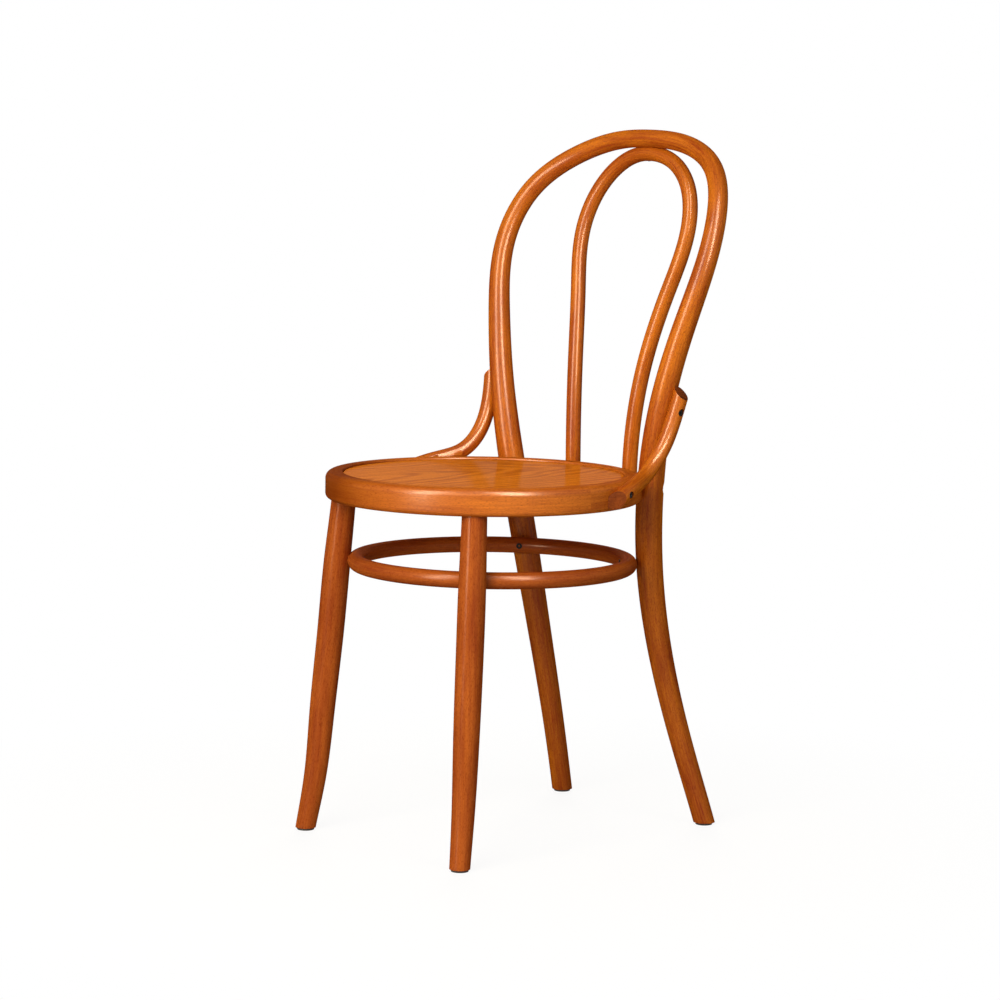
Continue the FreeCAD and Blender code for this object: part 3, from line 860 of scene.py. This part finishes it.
def glideProfile(g):
    edge, top = g["radius"], g["height"]
    points = [(0, 0), (edge - 2 * g["ease"], 0)]
    points += rounded((edge - g["ease"], g["ease"]), g["ease"], -80, 0, 5)
    return points + [(edge, top - g["topEase"]), (edge - g["topEase"], top), (0, top)]


def nailProfile(g):
    start, end, r = g["nailStart"], g["nailStart"] + g["nailLength"], g["nailRadius"]
    return [(0, start), (r, start), (r, end - g["nailPoint"]), (0, end)]


puck = turned("glide", glideProfile(glide), glide["sides"], closed=False)
pin = turned("nail", nailProfile(glide), glide["nailSides"], closed=False)
feet = []
for stations in (backFrame["stations"], frontLeg["stations"]):
    foot = pointAt(stations, glide["height"])
    feet += bothSides(Vector((foot.x, foot.y, 0)), up)
glides = setOut("glides", puck, feet, nylon)
nails = setOut("glideNails", pin, feet, zincSteel)
for part in list(screws.values()) + [bolt, washerRing, nut, puck, pin]:
    discard(part)
print("fastenings set")

woodenPieces = {
    "back_frame": hoop, "inner_loop": loop, "seat_ring": rim, "leg_ring": ring,
    "front_leg_left": frontLegs[0], "front_leg_right": frontLegs[1],
    "brace_left": braces[0], "brace_right": braces[1],
}
steelPieces = {
    "brace_top_screws": braceTopScrews, "brace_low_screws": braceLowScrews, "leg_ring_screws": ringScrews,
    "loop_foot_screws": loopFootScrews, "loop_top_screw": loopTopScrew, "tenon_screws": tenonScrews,
    "leg_bolts": legBolts,
}
zincPieces = {"leg_bolt_washers": washers, "leg_bolt_nuts": nuts, "glide_nails": nails}
for slot, pieces in (
    ("bent_wood", woodenPieces), ("plywood", {"seat_panel": panel}), ("blackened_steel", steelPieces),
    ("zinc_steel", zincPieces), ("glide_nylon", {"glides": glides}),
):
    for node, piece in pieces.items():
        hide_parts(node)
        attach(piece, "root")

# Stage: white surroundings, soft light and the camera

def whiteForEye(tree, strength):
    # white to the eye and in reflections, a plain soft level for everything else
    path = addNode(tree, "ShaderNodeLightPath").outputs
    mirrored = maths(tree, "MAXIMUM", path["Is Glossy Ray"], path["Is Transmission Ray"])
    seen = maths(tree, "MAXIMUM", path["Is Camera Ray"], mirrored)
    return spread(tree, seen, 0.0, 1.0, (strength, 1.0))


# lamps by their bearing from the front towards the sitter's left, and their height above the seat, in degrees
light = {
    "worldLevel": 0.16, "tint": (1.0, 0.92, 0.76), "stripTint": (1.0, 0.86, 0.62),
    "broad": {"bearing": 20, "rise": 24, "distance": 3.2, "size": (2.0, 2.0), "power": 124},
    "fill": {"bearing": 88, "rise": 30, "distance": 3.0, "size": (1.2, 1.2), "power": 19},
    "back": {"bearing": 226, "rise": 14, "distance": 3.2, "size": (2.0, 2.0), "power": 90},
    "top": {"bearing": 20, "rise": 80, "distance": 2.4, "size": (1.2, 1.2), "power": 3},
    "leftStrip": {"bearing": 4, "rise": 27, "distance": 2.8, "size": (0.75, 3.2), "power": 205},
    "rightStrip": {"bearing": 73, "rise": 42, "distance": 2.8, "size": (0.80, 2.8), "power": 285},
    "aim": 0.5,
}

world = bpy.data.worlds.new("studio")
bpy.context.scene.world = world
world.use_nodes = True
world.node_tree.nodes.clear()
level = whiteForEye(world.node_tree, light["worldLevel"])
glow = addNode(world.node_tree, "ShaderNodeBackground", {"Color": (1, 1, 1, 1), "Strength": level})
addNode(world.node_tree, "ShaderNodeOutputWorld", {"Surface": glow.outputs[0]})

for name in ("broad", "fill", "back", "top", "leftStrip", "rightStrip"):
    lamp = bpy.data.lights.new(name, "AREA")
    lamp.shape = "RECTANGLE"
    lamp.size, lamp.size_y = light[name]["size"]
    lamp.energy = light[name]["power"]
    lamp.color = light["stripTint" if "Strip" in name else "tint"]
    bearing, rise = math.radians(light[name]["bearing"]), math.radians(light[name]["rise"])
    away = Vector((math.sin(bearing) * math.cos(rise), -math.cos(bearing) * math.cos(rise), math.sin(rise)))
    holder = bpy.data.objects.new(name, lamp)
    bpy.context.scene.collection.objects.link(holder)
    holder.matrix_world = facing(up * light["aim"] + away * light[name]["distance"], away)
    holder.visible_diffuse = "Strip" not in name  # the strips only draw the thin highlights along the rods
    holder.visible_glossy = "Strip" in name

paperFloor = {
    "size": 6.0, "roughness": 0.7, "lit": 0.22, "seen": 0.9,
    "shadowFrom": 0.3, "shadowTo": 0.9, "near": 0.90,
}


def buildFloorMaterial(f):
    # white to the eye, but for a soft shadow near the feet
    material, tree, shader = newMaterial("floorPaint", {"Roughness": f["roughness"]})
    path = addNode(tree, "ShaderNodeLightPath").outputs
    tree.links.new(spread(tree, path["Is Camera Ray"], 0.0, 1.0, (f["lit"], f["seen"])), shader["Base Color"])
    place = addNode(tree, "ShaderNodeTexCoord").outputs["Object"]
    reach = addNode(tree, "ShaderNodeVectorMath", {0: place}, operation="LENGTH").outputs["Value"]
    near = spread(tree, reach, f["shadowFrom"], f["shadowTo"], (f["near"], 1.0))
    white = maths(tree, "MULTIPLY", path["Is Camera Ray"], near)
    paper = addNode(tree, "ShaderNodeEmission", {"Color": (1, 1, 1, 1), "Strength": 1.0}).outputs[0]
    paint = shader["Base Color"].node.outputs[0]
    mix = addNode(tree, "ShaderNodeMixShader", {0: white, 1: paint, 2: paper})
    output = [n for n in tree.nodes if n.type == "OUTPUT_MATERIAL"][0]
    tree.links.new(mix.outputs[0], output.inputs["Surface"])
    return material


bm = bmesh.new()
bmesh.ops.create_grid(bm, x_segments=8, y_segments=8, size=paperFloor["size"])
floor = pieceFrom(bm, "floor")
floor.data.materials.append(buildFloorMaterial(paperFloor))

# the camera looks at the seat's axis, which lies a little off the middle of a 1000 by 1000 frame
view = {
    "azimuth": 48.8698, "elevation": 6.4957, "roll": 0.8471, "distance": 4.2820, "target": 0.43902,
    "focal": 3383.03, "targetPixel": (483.4011, 492.3114), "frame": 1000.0, "sensor": 36.0,
}


def photoCamera(v):
    a, e, r = (math.radians(v[k]) for k in ("azimuth", "elevation", "roll"))
    back = Vector((math.sin(a) * math.cos(e), -math.cos(a) * math.cos(e), math.sin(e)))
    right = Vector((math.cos(a), math.sin(a), 0))
    upward = back.cross(right)
    place = seatAxis + up * v["target"] + back * v["distance"]
    right, upward = right * math.cos(r) + upward * math.sin(r), upward * math.cos(r) - right * math.sin(r)
    sideways, downwards = (math.atan((pixel - v["frame"] / 2) / v["focal"]) for pixel in v["targetPixel"])
    turn = Matrix.Rotation(sideways, 3, upward)
    right, back = turn @ right, turn @ back
    tip = Matrix.Rotation(downwards, 3, right)
    upward, back = tip @ upward, tip @ back
    data = bpy.data.cameras.new("photoCamera")
    data.sensor_width = v["sensor"]
    data.lens = v["focal"] / v["frame"] * data.sensor_width
    data.clip_end = 50.0
    camera = bpy.data.objects.new("photoCamera", data)
    bpy.context.scene.collection.objects.link(camera)
    camera.matrix_world = Matrix.Translation(place) @ Matrix((right, upward, back)).transposed().to_4x4()
    bpy.context.scene.camera = camera


photoCamera(view)
bpy.context.scene.view_settings.view_transform = "Standard"

print("scene complete")
